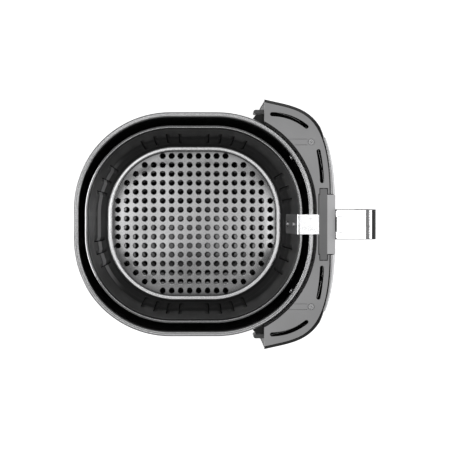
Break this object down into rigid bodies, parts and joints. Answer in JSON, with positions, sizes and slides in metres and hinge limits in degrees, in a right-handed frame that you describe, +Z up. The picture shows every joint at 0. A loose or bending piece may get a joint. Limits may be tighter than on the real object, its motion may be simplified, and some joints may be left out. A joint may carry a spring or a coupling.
{
  "type": "air fryer drawer",
  "caption": "Pull-out air fryer drawer: deep oval pan, lift-out perforated basket, curved front panel and a bent handle with a release button.",
  "frame": {"origin": "centre of the pan's underside, where it stands on a table", "axes": "+Z up; the handle and the front panel point along -Y; X is across the drawer"},
  "size_m": [0.262, 0.3179, 0.1362],
  "materials": {
    "pan_coating": "satin non-stick coating",
    "basket_coating": "satin non-stick coating",
    "floor_coating": "grey metallic non-stick coating",
    "steel": "bright",
    "black_steel": "black satin",
    "dark_steel": "dull",
    "brushed_steel": "brushed",
    "polished_steel": "polished",
    "spring_steel": "drawn wire",
    "grey_plastic": "matt",
    "frame_plastic": "matt",
    "black_gloss": "gloss",
    "silver_panel": "silver gloss",
    "satin_cover": "satin",
    "base_plastic": "satin",
    "cap_plastic": "satin",
    "handle_black": "satin",
    "grip_plastic": "fine texture",
    "lever_plastic": "matt"
  },
  "bodies": {
    "pan_unit": {"pan": "pan_coating", "pan_rivets": "steel", "pan_bracket": "black_steel", "front_frame": "frame_plastic", "front_shell": "black_gloss", "front_fascia": "silver_panel", "right_cover": "satin_cover", "left_cover": "satin_cover", "cover_screws": "dark_steel", "side_tabs": "grey_plastic", "catch_plate": "steel"},
    "basket_unit": {"basket": "basket_coating", "basket_floor": "floor_coating", "bracket_plate": "dark_steel", "basket_rivets": "steel", "basket_strap": "brushed_steel", "handle_base": "base_plastic", "handle_cap": "cap_plastic", "handle_core": "handle_black", "handle_trim": "polished_steel", "grip_back": "grip_plastic", "handle_screws": "steel", "button_spring": "spring_steel", "latch_pin": "steel", "latch_spring": "spring_steel"},
    "button": {"release_button": "polished_steel"},
    "latch": {"latch_lever": "lever_plastic"}
  },
  "joints": [
    {"name": "basket_lift", "type": "slide", "parent": "pan_unit", "child": "basket_unit", "axis": [0, 0, 1], "range_m": [0, 0.14]},
    {"name": "button_press", "type": "slide", "parent": "basket_unit", "child": "button", "axis": [0, 0, -1], "range_m": [0, 0.003], "stiffness_N_per_m": 400, "springref_m": -0.002, "deforming": ["button_spring"]},
    {"name": "latch_swing", "type": "hinge", "parent": "basket_unit", "child": "latch", "pos_m": [0, -0.146, 0.1224], "axis": [1, 0, 0], "range_deg": [0, 12.5], "deforming": ["latch_spring"]}
  ],
  "couplings": [
    {"joint": "latch_swing", "follows": "button_press", "rad_per_m": 71.4}
  ]
}
